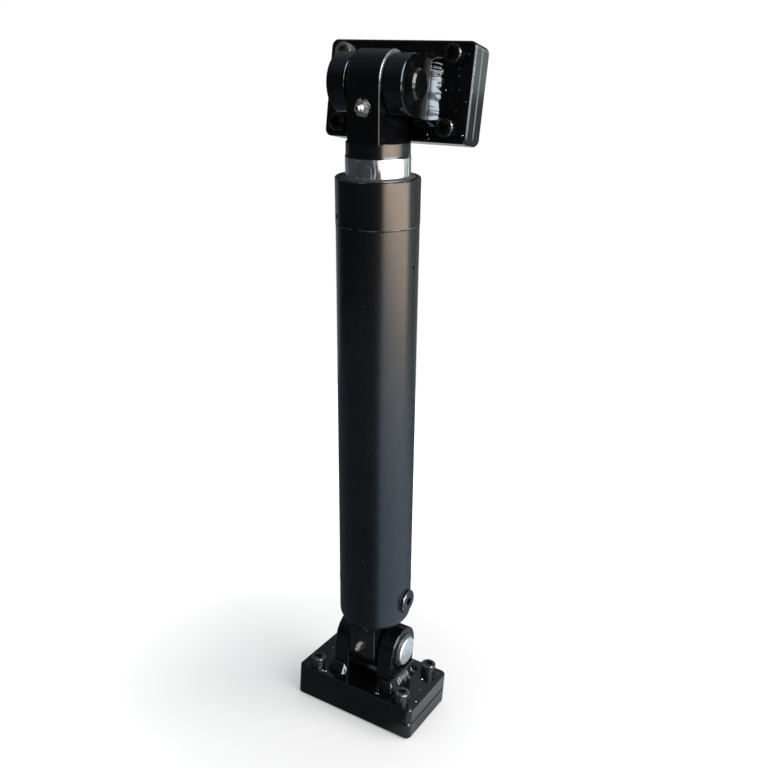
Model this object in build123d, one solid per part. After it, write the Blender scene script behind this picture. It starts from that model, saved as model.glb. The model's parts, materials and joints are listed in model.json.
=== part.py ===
from build123d import *
import os
from math import acos, atan2, degrees, hypot, sqrt

# A single-acting plunger cylinder between two bolted clevis brackets, in millimetres.
# The origin is the centre of the base bracket's underside. +X runs along the base pin, +Z is up.

# Plunger and tube
PLUNGER_RADIUS = 32.5
OIL_GAP = 2.5
TUBE_WALL = 7.5
STROKE = 330.0
RUNNING_GAP = 0.05
FREE_GAP = 0.3
SEAT_GAP = 0.02
END_GAP = 1.0

# Head of the plunger
PISTON_LENGTH = 36.0
PISTON_SPIGOT_RADIUS = 18.0
NUT_RADIUS = 28.0
NUT_HEIGHT = 12.0
NUT_SLOT_WIDTH = 8.0
NUT_SLOT_DEPTH = 5.0
GUIDE_THICKNESS = 2.5
PISTON_RING_HEIGHT = 10.0
PISTON_RING_EDGE = 4.0
RING_SPLIT = 3.0
OIL_SLOT_WIDTH = 8.0
OIL_SLOT_DEPTH = 3.0
OIL_SLOTS = 4

# Screwed head at the top of the tube
GLAND_PROUD = 0.3
GLAND_HEAD_HEIGHT = 47.0
GLAND_SPIGOT_HEIGHT = 32.0
GLAND_THREAD_STEP = 3.0
GLAND_EDGE = 1.2
SEAM_EDGE = 0.6
WIPER_DEPTH = 5.0
WIPER_HEIGHT = 8.0
WIPER_LIP_HEIGHT = 1.5
WIPER_LIP_WIDTH = 2.0
SEAL_DEPTH = 6.0
SEAL_HEIGHT = 10.0
SEAL_ABOVE_SEAM = 19.0
GLAND_GUIDE_HEIGHT = 18.0
GLAND_GUIDE_EDGE = 3.0
O_RING_WIDTH = 4.5
O_RING_DEPTH = 2.8
O_RING_EDGE = 1.5
SPANNER_HOLE_RADIUS = 3.0
SPANNER_HOLE_DEPTH = 6.0
SPANNER_HOLE_ABOVE_SEAM = 9.0
SPANNER_HOLE_TURN = 50.0

# End cap and oil port
CAP_HEIGHT = 55.0
CAP_ROUND = 12.0
CAP_SPIGOT_HEIGHT = 10.0
CAP_WELD_GROOVE = 5.0
CAP_WELD_PROUD = 0.2
PORT_BELOW_SEAM = 22.0
PORT_THREAD_RADIUS = 10.5
PORT_THREAD_LENGTH = 14.0
PORT_FACE_RADIUS = 15.0
OIL_WAY_RADIUS = 6.0
PORT_SEAL_RADIUS = 14.0
PORT_SEAL_THICKNESS = 2.0
PLUG_COLLAR_RADIUS = 13.5
PLUG_COLLAR_THICKNESS = 4.5
PLUG_COLLAR_EDGE = 1.2
PLUG_SOCKET = 10.0
PLUG_SOCKET_DEPTH = 7.0
BLEED_RADIUS = 4.0
BLEED_SOCKET = 4.0
BLEED_SOCKET_DEPTH = 3.0
BLEED_BELOW_GLAND = 8.0
BLEED_SUNK = 0.4

# Lugs, bushes and pins, the same at both ends
PIN_RADIUS = 15.0
BUSH_WALL = 3.0
LUG_WIDTH = 35.0
LUG_EYE_WALL = 13.0
LUG_EDGE = 0.8
LUG_TO_PLATE = 11.5
EAR_TO_CAP = 12.0
TOP_LUG_REACH = 53.0
LUG_WELD_WIDTH = 6.0
LUG_WELD_HEIGHT = 6.0
LUG_WELD_TOE = 1.2
NECK_WELD_HEIGHT = 4.0
NECK_WELD_WIDTH = 5.0
PIN_HEAD_STEP = 2.0
PIN_HEAD_THICKNESS = 4.5
PIN_HEAD_EDGE = 1.0
PIN_TAIL = 5.0
PIN_TAIL_EDGE = 2.0
WASHER_THICKNESS = 1.5
WASHER_STEP = 5.0
CIRCLIP_THICKNESS = 1.5
CIRCLIP_WIDTH = 3.4
CIRCLIP_GROOVE_DEPTH = 0.7
CIRCLIP_OPENING = 7.0
CIRCLIP_LUG_RADIUS = 3.0
CIRCLIP_LUG_REACH = 1.0
CIRCLIP_LUG_HOLE = 1.2
NIPPLE_RADIUS = 4.0
NIPPLE_THREAD_LENGTH = 7.0
NIPPLE_HEX = 10.0
NIPPLE_HEX_HEIGHT = 4.5
NIPPLE_HEAD_RADIUS = 3.2
NIPPLE_HEAD_HEIGHT = 4.3
NIPPLE_HEAD_EDGE = 1.1
NIPPLE_WAIST_RADIUS = 1.6
NIPPLE_WAIST_HEIGHT = 2.2
NIPPLE_WAY_RADIUS = 1.0
GREASE_WAY_RADIUS = 1.5
BASE_NIPPLE_OFFSET = 11.0
TOP_NIPPLE_OFFSET = 20.0

# Plunger's upper end, as it stands retracted
CHROME_SHOWING = 19.0
NECK_HEIGHT = 14.0
NECK_STEP = 0.6
NECK_FLARE_HEIGHT = 2.5

# Brackets
EAR_THICKNESS = 20.0
EAR_EYE_WALL = 13.0
EAR_EDGE = 0.8
EAR_SIDE_PLAY = 2.5
EAR_WELD_WIDTH = 8.5
EAR_WELD_HEIGHT = 13.0
WELD_LAND = 1.0
SCREW_FROM_EAR = 20.0
SCREW_EDGE_X = 20.0
SCREW_SPACING_Y = 68.0
SCREW_EDGE_Y = 13.5
PLATE_CORNER = 7.0
PLATE_EDGE = 1.5
BASE_BACKING_THICKNESS = 20.0
BASE_EAR_PLATE_THICKNESS = 20.0
TOP_BACKING_THICKNESS = 18.0
TOP_EAR_PLATE_THICKNESS = 16.0
SCREW_RADIUS = 6.0
SCREW_HEAD_RADIUS = 9.0
SCREW_HEAD_HEIGHT = 12.0
SCREW_SOCKET = 10.0
SCREW_SOCKET_DEPTH = 6.0
SCREW_EDGE = 1.0
BASE_SCREW_LENGTH = 35.0
TOP_SCREW_LENGTH = 30.0
HOLE_END_ROOM = 2.0
SCREW_HOLE_PLAY = 0.75

# How it stands
LEAN = 6.45
SWIVEL = 2.7
TOP_PLATE_TO_NECK = 0.8
TOP_SIDE_SHIFT = 1.5

# Sizes that follow
TUBE_BORE_RADIUS = PLUNGER_RADIUS + OIL_GAP
TUBE_RADIUS = TUBE_BORE_RADIUS + TUBE_WALL
GLAND_RADIUS = TUBE_RADIUS + GLAND_PROUD
GLAND_THREAD_RADIUS = TUBE_BORE_RADIUS + GLAND_THREAD_STEP
GUIDE_GROOVE_RADIUS = TUBE_BORE_RADIUS - RUNNING_GAP - GUIDE_THICKNESS
NECK_RADIUS = PLUNGER_RADIUS - NECK_STEP
BUSH_RADIUS = PIN_RADIUS + RUNNING_GAP + BUSH_WALL
LUG_RADIUS = BUSH_RADIUS + LUG_EYE_WALL
EAR_RADIUS = PIN_RADIUS + EAR_EYE_WALL
PIN_HEIGHT = LUG_RADIUS + LUG_TO_PLATE
EAR_INSIDE = LUG_WIDTH / 2 + EAR_SIDE_PLAY
EAR_OUTSIDE = EAR_INSIDE + EAR_THICKNESS
WASHER_OUTSIDE = EAR_OUTSIDE + WASHER_THICKNESS
SCREW_X = EAR_OUTSIDE + SCREW_FROM_EAR
SCREW_Y = SCREW_SPACING_Y / 2
PLATE_LENGTH = 2 * (SCREW_X + SCREW_EDGE_X)
PLATE_WIDTH = SCREW_SPACING_Y + 2 * SCREW_EDGE_Y

# Heights along the barrel, from the base pin
CAP_BOTTOM = EAR_RADIUS + EAR_TO_CAP
TUBE_BOTTOM = CAP_BOTTOM + CAP_HEIGHT
CAP_TOP = TUBE_BOTTOM + CAP_SPIGOT_HEIGHT
NUT_BOTTOM = CAP_TOP + END_GAP
PISTON_BOTTOM = NUT_BOTTOM + NUT_HEIGHT
PISTON_TOP = PISTON_BOTTOM + PISTON_LENGTH
GLAND_BOTTOM = PISTON_TOP + STROKE + END_GAP
TUBE_TOP = GLAND_BOTTOM + GLAND_SPIGOT_HEIGHT
GLAND_TOP = TUBE_TOP + GLAND_HEAD_HEIGHT
CHROME_TOP = GLAND_TOP + CHROME_SHOWING
NECK_TOP = CHROME_TOP + NECK_HEIGHT
TOP_PIN_HEIGHT = NECK_TOP + TOP_LUG_REACH
PORT_HEIGHT = TUBE_BOTTOM - PORT_BELOW_SEAM
PORT_FACE = (TUBE_RADIUS**2 - PORT_FACE_RADIUS**2) ** 0.5
BLEED_HEIGHT = GLAND_BOTTOM - BLEED_BELOW_GLAND

# The top plate hangs until its lower edge nearly meets the plunger's neck
PLATE_REACH = hypot(PIN_HEIGHT, PLATE_WIDTH / 2)
PLATE_CORNER_ANGLE = atan2(PLATE_WIDTH / 2, PIN_HEIGHT)
TOP_TILT = degrees(acos((NECK_RADIUS + TOP_PLATE_TO_NECK) / PLATE_REACH) - PLATE_CORNER_ANGLE)

# Frames: each bracket's own frame has its pin along X at the origin and its plates below
BASE_FRAME = Pos(0, 0, BASE_BACKING_THICKNESS + BASE_EAR_PLATE_THICKNESS + PIN_HEIGHT)
BARREL_FRAME = BASE_FRAME * Rot(X=LEAN)
PLUNGER_FRAME = BARREL_FRAME * Rot(Z=SWIVEL)
TOP_PIN_FRAME = PLUNGER_FRAME * Pos(0, 0, TOP_PIN_HEIGHT)
TOP_FRAME = TOP_PIN_FRAME * Pos(-TOP_SIDE_SHIFT, 0, 0) * Rot(X=90 - TOP_TILT)


STANDING = (Align.CENTER, Align.CENTER, Align.MIN)


def rod(radius, low, high):
    """A round bar along Z."""
    return Pos(0, 0, low) * Cylinder(radius, high - low, align=STANDING)


def ring(outer, inner, low, high):
    """A round sleeve along Z."""
    return rod(outer, low, high) - rod(inner, low, high)


def cone(low_radius, high_radius, low, high):
    """A round taper along Z."""
    return Pos(0, 0, low) * Cone(low_radius, high_radius, high - low, align=STANDING)


def block(width, depth, low, high):
    """A box centred on Z."""
    return Pos(0, 0, low) * Box(width, depth, high - low, align=STANDING)


def hexagon(across_flats, low, high):
    """A hexagonal bar along Z."""
    return Pos(0, 0, low) * extrude(RegularPolygon(across_flats / 2, 6, major_radius=False), high - low)


def chamfered_rod(radius, low, high, edge, both=False):
    """A round bar along Z with its upper rim, or both rims, chamfered."""
    bar = rod(radius, low, high)
    rims = bar.edges().filter_by(GeomType.CIRCLE).sort_by(Axis.Z)
    return chamfer(rims if both else rims[-1:], edge)


def along_x(shape):
    """Turns what lies along Z to lie along X."""
    return Rot(Y=90) * shape


def eye_profile(radius, reach, thickness):
    """A plate in the YZ plane, centred on X: round about the origin, straight for reach towards +Z."""
    outline = Circle(radius) + Pos(0, reach / 2) * Rectangle(2 * radius, reach)
    return extrude(Plane.YZ * outline, thickness / 2, both=True)


def with_edges(plate, reach, edge):
    """Chamfers the rims of an eye plate, and leaves the end that is welded on square."""
    faces = plate.faces().sort_by(Axis.X)
    rims = faces[0].outer_wire().edges() + faces[-1].outer_wire().edges()
    return chamfer([rim for rim in rims if rim.center().Z < reach - edge], edge)


# Lugs


def grease_way(offset):
    """The slanted drilling from under the nipple, through the bush, towards the pin's axis."""
    start = LUG_RADIUS - NIPPLE_THREAD_LENGTH
    slant = degrees(atan2(start, offset))
    return Rot(X=slant) * rod(GREASE_WAY_RADIUS, 0, hypot(start, offset))


def lug(reach, offset):
    """A lug with its eye at the origin, its foot towards +Z and its nipple hole towards -Y."""
    eye = along_x(rod(BUSH_RADIUS + SEAT_GAP, -LUG_WIDTH, LUG_WIDTH))
    hole = rod(NIPPLE_RADIUS + SEAT_GAP, -NIPPLE_THREAD_LENGTH, 0)
    hole = Pos(0, -LUG_RADIUS, offset) * Rot(X=90) * hole
    blank = with_edges(eye_profile(LUG_RADIUS, reach, LUG_WIDTH), reach, LUG_EDGE)
    return blank - eye - hole - grease_way(offset)


def bush(offset):
    """The plain bush of a lug, drilled for grease."""
    sleeve = ring(BUSH_RADIUS, PIN_RADIUS + RUNNING_GAP, -LUG_WIDTH / 2, LUG_WIDTH / 2)
    return along_x(sleeve) - grease_way(offset)


def nipple(offset):
    """A grease nipple on the lug's front face."""
    waist = NIPPLE_HEX_HEIGHT + NIPPLE_WAIST_HEIGHT
    tip = waist + NIPPLE_HEAD_HEIGHT
    thread = rod(NIPPLE_RADIUS, -NIPPLE_THREAD_LENGTH, 0)
    body = thread + hexagon(NIPPLE_HEX, 0, NIPPLE_HEX_HEIGHT)
    body += cone(NIPPLE_RADIUS, NIPPLE_WAIST_RADIUS, NIPPLE_HEX_HEIGHT, waist)
    body += chamfered_rod(NIPPLE_HEAD_RADIUS, waist, tip, NIPPLE_HEAD_EDGE, both=True)
    body -= rod(NIPPLE_WAY_RADIUS, -NIPPLE_THREAD_LENGTH, tip)
    return Pos(0, -LUG_RADIUS, offset) * Rot(X=90) * body


# Brackets


def plate(low, thickness):
    """A bracket plate with rounded corners and broken edges."""
    blank = extrude(RectangleRounded(PLATE_LENGTH, PLATE_WIDTH, PLATE_CORNER), thickness)
    rims = blank.edges().group_by(Axis.Z)
    return Pos(0, 0, low) * chamfer(rims[0] + rims[-1], PLATE_EDGE)


def screw_places():
    """The four screw axes of a bracket."""
    return [Pos(x, y, 0) for x in (-SCREW_X, SCREW_X) for y in (-SCREW_Y, SCREW_Y)]


def cap_screw(seat, length):
    """A socket-head cap screw whose head sits at the height seat."""
    high = seat + SCREW_HEAD_HEIGHT
    shank = rod(SCREW_RADIUS, seat - length, seat)
    head = chamfered_rod(SCREW_HEAD_RADIUS, seat, high, SCREW_EDGE)
    return shank + head - hexagon(SCREW_SOCKET, high - SCREW_SOCKET_DEPTH, high)


def ear(side):
    """A bracket ear with its eye at the origin and its foot on the ear plate."""
    blank = with_edges(eye_profile(EAR_RADIUS, PIN_HEIGHT, EAR_THICKNESS), PIN_HEIGHT, EAR_EDGE)
    eye = along_x(rod(PIN_RADIUS + SEAT_GAP, -EAR_THICKNESS, EAR_THICKNESS))
    return Pos(side * (EAR_INSIDE + EAR_THICKNESS / 2), 0, 0) * Rot(Y=180) * (blank - eye)


def weld_taper(width, height):
    """The slope of a bead that keeps a narrow land where it ends."""
    return degrees(atan2(width - WELD_LAND, height))


def ear_weld(side):
    """The bead round three sides of an ear's foot; the side next to the lug is left free."""
    width = 2 * (EAR_THICKNESS + EAR_WELD_WIDTH)
    depth = 2 * (EAR_RADIUS + EAR_WELD_WIDTH)
    taper = weld_taper(EAR_WELD_WIDTH, EAR_WELD_HEIGHT)
    bead = extrude(RectangleRounded(width, depth, EAR_WELD_WIDTH), EAR_WELD_HEIGHT, taper=taper)
    bead -= block(2 * EAR_THICKNESS, 2 * EAR_RADIUS, 0, EAR_WELD_HEIGHT)
    bead -= Pos(-side * width / 2, 0, 0) * block(width, depth, 0, EAR_WELD_HEIGHT)
    return Pos(side * EAR_INSIDE, 0, -PIN_HEIGHT) * bead


def washers():
    """The two plain washers, one against each ear's outer face."""
    washer = ring(PIN_RADIUS + WASHER_STEP, PIN_RADIUS + SEAT_GAP, EAR_OUTSIDE, WASHER_OUTSIDE)
    return Compound(children=[Rot(Y=side * 90) * washer for side in (-1, 1)])


def pin():
    """A headed pin along X, head at +X, with a groove for its circlip."""
    head_high = WASHER_OUTSIDE + PIN_HEAD_THICKNESS
    tail_end = WASHER_OUTSIDE + PIN_TAIL
    head = chamfered_rod(PIN_RADIUS + PIN_HEAD_STEP, WASHER_OUTSIDE, head_high, PIN_HEAD_EDGE)
    shank = Rot(X=180) * chamfered_rod(PIN_RADIUS, -WASHER_OUTSIDE, tail_end, PIN_TAIL_EDGE)
    groove_low = -WASHER_OUTSIDE - CIRCLIP_THICKNESS - 2 * SEAT_GAP
    groove = ring(PIN_RADIUS, PIN_RADIUS - CIRCLIP_GROOVE_DEPTH, groove_low, -WASHER_OUTSIDE)
    return along_x(head + shank - groove)


def circlip():
    """The open retaining ring on the pin's tail, its gap towards +Y."""
    inside = PIN_RADIUS - CIRCLIP_GROOVE_DEPTH + SEAT_GAP
    outside = inside + CIRCLIP_WIDTH
    high = -WASHER_OUTSIDE - SEAT_GAP
    low = high - CIRCLIP_THICKNESS
    clip = ring(outside, inside, low, high)
    clip -= Pos(0, outside, 0) * block(CIRCLIP_OPENING, 2 * outside, low, high)
    for side in (-1, 1):
        eye_x = side * (CIRCLIP_OPENING + CIRCLIP_LUG_RADIUS) / 2
        place = Pos(eye_x, outside - CIRCLIP_WIDTH / 2 + CIRCLIP_LUG_REACH, 0)
        clip += place * rod(CIRCLIP_LUG_RADIUS, low, high) - rod(inside, low, high)
        clip -= place * rod(CIRCLIP_LUG_HOLE, low, high)
    return along_x(clip)


def bracket(backing_thickness, ear_plate_thickness, screw_length, head_side):
    """The pieces of one bracket in its own frame; the pin's head is on head_side."""
    seat = -PIN_HEIGHT
    joint = seat - ear_plate_thickness
    tapped = rod(SCREW_RADIUS + SEAT_GAP, seat - screw_length - HOLE_END_ROOM, joint)
    clear = rod(SCREW_RADIUS + SCREW_HOLE_PLAY, joint, seat)
    backing = plate(joint - backing_thickness, backing_thickness)
    ear_plate = plate(joint, ear_plate_thickness)
    for place in screw_places():
        backing -= place * tapped
        ear_plate -= place * clear
    head_turn = Rot(Z=0) if head_side > 0 else Rot(Z=180)
    gap_turn = Rot(X=0) if head_side > 0 else Rot(X=180)
    screws = [place * cap_screw(seat, screw_length) for place in screw_places()]
    return {
        "backing_plate": backing,
        "ear_plate": ear_plate,
        "left_ear": ear(-1),
        "right_ear": ear(1),
        "left_ear_weld": ear_weld(-1),
        "right_ear_weld": ear_weld(1),
        "screws": Compound(children=screws),
        "pin": head_turn * pin(),
        "washers": washers(),
        "circlip": head_turn * gap_turn * circlip(),
    }


# Barrel


def end_cap():
    """The turned cap with its rounded bottom, spigot, weld groove, oil port and oil way."""
    blank = rod(TUBE_RADIUS, CAP_BOTTOM, TUBE_BOTTOM)
    rims = blank.edges().filter_by(GeomType.CIRCLE).sort_by(Axis.Z)
    blank = fillet(rims[0], CAP_ROUND)
    upper_rim = blank.edges().filter_by(GeomType.CIRCLE).sort_by(Axis.Z)[-1]
    blank = chamfer(upper_rim, CAP_WELD_GROOVE)
    blank += rod(TUBE_BORE_RADIUS - SEAT_GAP, TUBE_BOTTOM, CAP_TOP)
    spot_face = rod(PORT_FACE_RADIUS, PORT_FACE, TUBE_RADIUS)
    thread = rod(PORT_THREAD_RADIUS, PORT_FACE - PORT_THREAD_LENGTH - HOLE_END_ROOM, PORT_FACE)
    way_in = rod(OIL_WAY_RADIUS, 0, PORT_FACE)
    way_up = rod(OIL_WAY_RADIUS, PORT_HEIGHT, CAP_TOP)
    return blank - Pos(0, 0, PORT_HEIGHT) * along_x(spot_face + thread + way_in) - way_up


def cap_weld():
    """The girth weld in the groove between cap and tube."""
    low = TUBE_BOTTOM - CAP_WELD_GROOVE
    high = TUBE_BOTTOM + CAP_WELD_GROOVE
    root = TUBE_RADIUS - CAP_WELD_GROOVE
    crown = TUBE_RADIUS + CAP_WELD_PROUD
    outline = Polyline(
        (root, TUBE_BOTTOM), (TUBE_RADIUS, low), (crown, low + CAP_WELD_GROOVE / 2),
        (crown, high - CAP_WELD_GROOVE / 2), (TUBE_RADIUS, high), (root, TUBE_BOTTOM),
    )
    return revolve(Plane.XZ * make_face(outline), Axis.Z)


def barrel_tube():
    """The honed tube, counterbored for the head's thread and drilled for the bleed screw."""
    blank = rod(TUBE_RADIUS, TUBE_BOTTOM, TUBE_TOP)
    rims = blank.edges().filter_by(GeomType.CIRCLE).sort_by(Axis.Z)
    blank = chamfer(rims[0], CAP_WELD_GROOVE)
    upper_rim = blank.edges().filter_by(GeomType.CIRCLE).sort_by(Axis.Z)[-1]
    blank = chamfer(upper_rim, SEAM_EDGE)
    bleed = Pos(0, 0, BLEED_HEIGHT) * along_x(rod(BLEED_RADIUS + SEAT_GAP, 0, TUBE_RADIUS))
    bore = rod(TUBE_BORE_RADIUS, TUBE_BOTTOM, TUBE_TOP)
    return blank - bore - rod(GLAND_THREAD_RADIUS, GLAND_BOTTOM, TUBE_TOP) - bleed


def port_plug():
    """The hex-socket plug of the oil port."""
    collar_low = PORT_FACE + PORT_SEAL_THICKNESS
    collar_high = collar_low + PLUG_COLLAR_THICKNESS
    thread = rod(PORT_THREAD_RADIUS - SEAT_GAP, PORT_FACE - PORT_THREAD_LENGTH, collar_low)
    collar = chamfered_rod(PLUG_COLLAR_RADIUS, collar_low, collar_high, PLUG_COLLAR_EDGE)
    socket = hexagon(PLUG_SOCKET, collar_high - PLUG_SOCKET_DEPTH, collar_high)
    return Pos(0, 0, PORT_HEIGHT) * along_x(thread + collar - socket)


def port_seal():
    """The bonded washer under the plug's collar."""
    washer = ring(PORT_SEAL_RADIUS, PORT_THREAD_RADIUS, PORT_FACE, PORT_FACE + PORT_SEAL_THICKNESS)
    return Pos(0, 0, PORT_HEIGHT) * along_x(washer)


def bleed_screw():
    """The grub screw that vents the space under the head."""
    high = TUBE_RADIUS - BLEED_SUNK
    screw = rod(BLEED_RADIUS, TUBE_BORE_RADIUS + BLEED_SUNK, high)
    screw -= hexagon(BLEED_SOCKET, high - BLEED_SOCKET_DEPTH, high)
    return Pos(0, 0, BLEED_HEIGHT) * along_x(screw)


GLAND_GUIDE_LOW = GLAND_BOTTOM + GLAND_GUIDE_EDGE
GLAND_GUIDE_GROOVE = PLUNGER_RADIUS + RUNNING_GAP + GUIDE_THICKNESS
O_RING_HIGH = TUBE_TOP - O_RING_EDGE
O_RING_LOW = O_RING_HIGH - O_RING_WIDTH
O_RING_GROOVE = GLAND_THREAD_RADIUS - O_RING_DEPTH
SEAL_LOW = TUBE_TOP + SEAL_ABOVE_SEAM
SEAL_HIGH = SEAL_LOW + SEAL_HEIGHT
SEAL_GROOVE = PLUNGER_RADIUS + SEAL_DEPTH
WIPER_LOW = GLAND_TOP - WIPER_HEIGHT
WIPER_GROOVE = PLUNGER_RADIUS + WIPER_DEPTH


def gland_head():
    """The screwed head with its bore, its four grooves and two holes for a pin spanner."""
    head = rod(GLAND_RADIUS, TUBE_TOP, GLAND_TOP)
    rims = head.edges().filter_by(GeomType.CIRCLE).sort_by(Axis.Z)
    head = chamfer(rims[0], SEAM_EDGE)
    upper_rim = head.edges().filter_by(GeomType.CIRCLE).sort_by(Axis.Z)[-1]
    head = chamfer(upper_rim, GLAND_EDGE)
    head += rod(GLAND_THREAD_RADIUS - SEAT_GAP, GLAND_BOTTOM, TUBE_TOP)
    head -= rod(PLUNGER_RADIUS + RUNNING_GAP, GLAND_BOTTOM, GLAND_TOP)
    head -= rod(GLAND_GUIDE_GROOVE + SEAT_GAP, GLAND_GUIDE_LOW, GLAND_GUIDE_LOW + GLAND_GUIDE_HEIGHT)
    head -= rod(SEAL_GROOVE + SEAT_GAP, SEAL_LOW, SEAL_HIGH)
    head -= rod(WIPER_GROOVE + SEAT_GAP, WIPER_LOW, GLAND_TOP)
    head -= ring(GLAND_RADIUS, O_RING_GROOVE, O_RING_LOW, O_RING_HIGH)
    spanner_hole = along_x(rod(SPANNER_HOLE_RADIUS, GLAND_RADIUS - SPANNER_HOLE_DEPTH, GLAND_RADIUS))
    for turn in (SPANNER_HOLE_TURN, SPANNER_HOLE_TURN + 180):
        head -= Pos(0, 0, TUBE_TOP + SPANNER_HOLE_ABOVE_SEAM) * Rot(Z=turn) * spanner_hole
    return head


def split(sleeve, radius, low, high):
    """Cuts a guide ring open on its -X side."""
    return sleeve - Pos(-radius, 0, 0) * block(radius, RING_SPLIT, low, high)


def gland_guide_ring():
    """The split guide ring inside the head."""
    high = GLAND_GUIDE_LOW + GLAND_GUIDE_HEIGHT
    sleeve = ring(GLAND_GUIDE_GROOVE, PLUNGER_RADIUS + RUNNING_GAP, GLAND_GUIDE_LOW, high)
    return split(sleeve, GLAND_GUIDE_GROOVE, GLAND_GUIDE_LOW, high)


def rod_wiper():
    """The wiper, whose lip stands a little out of the head."""
    inside = PLUNGER_RADIUS + RUNNING_GAP
    tip = GLAND_TOP + WIPER_LIP_HEIGHT
    lip = cone(inside + 2 * WIPER_LIP_WIDTH, inside + WIPER_LIP_WIDTH, GLAND_TOP, tip)
    return rod(WIPER_GROOVE, WIPER_LOW, GLAND_TOP) + lip - rod(inside, WIPER_LOW, tip)


# Plunger


def plunger_rod():
    """The chromed plunger with the threaded end that carries its head."""
    return rod(PLUNGER_RADIUS, PISTON_TOP, CHROME_TOP) + rod(PISTON_SPIGOT_RADIUS, NUT_BOTTOM, PISTON_TOP)


def piston_ring_lows():
    """Where the two guide rings of the plunger's head start."""
    return [PISTON_BOTTOM + PISTON_RING_EDGE, PISTON_TOP - PISTON_RING_EDGE - PISTON_RING_HEIGHT]


def piston_head():
    """The stop head, grooved for its guide rings and slotted so that oil passes."""
    outside = TUBE_BORE_RADIUS - FREE_GAP
    head = ring(outside, PISTON_SPIGOT_RADIUS + SEAT_GAP, PISTON_BOTTOM, PISTON_TOP)
    groove_inside = GUIDE_GROOVE_RADIUS - RUNNING_GAP
    for low in piston_ring_lows():
        high = low + PISTON_RING_HEIGHT
        head -= ring(outside, groove_inside, low - RUNNING_GAP, high + RUNNING_GAP)
    slot = block(OIL_SLOT_WIDTH, OIL_SLOT_WIDTH, PISTON_BOTTOM, PISTON_TOP)
    slot = Pos(GUIDE_GROOVE_RADIUS - OIL_SLOT_DEPTH + OIL_SLOT_WIDTH / 2, 0, 0) * slot
    for number in range(OIL_SLOTS):
        head -= Rot(Z=360 / OIL_SLOTS * (number + 0.5)) * slot
    return head


def piston_guide_ring(low):
    """A split guide ring that runs on the tube's bore."""
    high = low + PISTON_RING_HEIGHT
    outside = TUBE_BORE_RADIUS - RUNNING_GAP
    return split(ring(outside, GUIDE_GROOVE_RADIUS, low, high), outside, low, high)


def piston_nut():
    """The slotted round nut under the stop head."""
    nut = ring(NUT_RADIUS, PISTON_SPIGOT_RADIUS + SEAT_GAP, NUT_BOTTOM, PISTON_BOTTOM)
    slot = Pos(NUT_RADIUS, 0, 0) * block(2 * NUT_SLOT_DEPTH, NUT_SLOT_WIDTH, NUT_BOTTOM, PISTON_BOTTOM)
    for number in range(OIL_SLOTS):
        nut -= Rot(Z=360 / OIL_SLOTS * number) * slot
    return nut


def plunger_neck():
    """The painted collar, flared where it meets the chrome."""
    flare_top = CHROME_TOP + NECK_FLARE_HEIGHT
    flare = cone(PLUNGER_RADIUS, NECK_RADIUS, CHROME_TOP, flare_top)
    return flare + rod(NECK_RADIUS, flare_top, NECK_TOP)


def base_knuckle_weld(cap):
    """The bead that fills the corner between the lug and the rounded cap."""
    low = CAP_BOTTOM - LUG_WELD_HEIGHT
    slope = degrees(atan2(LUG_WELD_WIDTH - LUG_WELD_TOE, LUG_WELD_HEIGHT))
    reach = hypot(LUG_WIDTH / 2, LUG_RADIUS) + LUG_WELD_TOE
    over_round = reach - (TUBE_RADIUS - CAP_ROUND)
    cap_rise = CAP_ROUND - sqrt(CAP_ROUND**2 - over_round**2)
    height = LUG_WELD_HEIGHT + cap_rise + LUG_WELD_TOE
    foot = RectangleRounded(LUG_WIDTH + 2 * LUG_WELD_TOE, 2 * (LUG_RADIUS + LUG_WELD_TOE), LUG_WELD_TOE)
    bead = Pos(0, 0, low) * extrude(foot, height, taper=-slope)
    bead &= rod(reach, low, low + height)
    return bead - block(LUG_WIDTH, 2 * LUG_RADIUS, low, CAP_BOTTOM) - cap


def neck_weld():
    """The two beads on the neck's top face, one along each side of the lug."""
    foot = Rectangle(LUG_WIDTH + 2 * NECK_WELD_WIDTH, 2 * NECK_RADIUS)
    slope = weld_taper(NECK_WELD_WIDTH, NECK_WELD_HEIGHT)
    high = NECK_TOP + NECK_WELD_HEIGHT
    bead = Pos(0, 0, NECK_TOP) * extrude(foot, NECK_WELD_HEIGHT, taper=slope)
    return (bead & rod(NECK_RADIUS, NECK_TOP, high)) - block(LUG_WIDTH, 2 * NECK_RADIUS, NECK_TOP, high)


def barrel():
    """The pieces of the barrel in its own frame, base pin at the origin."""
    cap = end_cap()
    return {
        "base_knuckle": lug(CAP_BOTTOM, BASE_NIPPLE_OFFSET),
        "base_bush": bush(BASE_NIPPLE_OFFSET),
        "base_nipple": nipple(BASE_NIPPLE_OFFSET),
        "base_knuckle_weld": base_knuckle_weld(cap),
        "end_cap": cap,
        "cap_weld": cap_weld(),
        "barrel_tube": barrel_tube(),
        "port_plug": port_plug(),
        "port_seal": port_seal(),
        "bleed_screw": bleed_screw(),
        "gland_head": gland_head(),
        "gland_o_ring": ring(GLAND_THREAD_RADIUS - SEAT_GAP, O_RING_GROOVE, O_RING_LOW, O_RING_HIGH),
        "rod_seal": ring(SEAL_GROOVE, PLUNGER_RADIUS + RUNNING_GAP, SEAL_LOW, SEAL_HIGH),
        "rod_wiper": rod_wiper(),
        "gland_guide_ring": gland_guide_ring(),
    }


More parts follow.
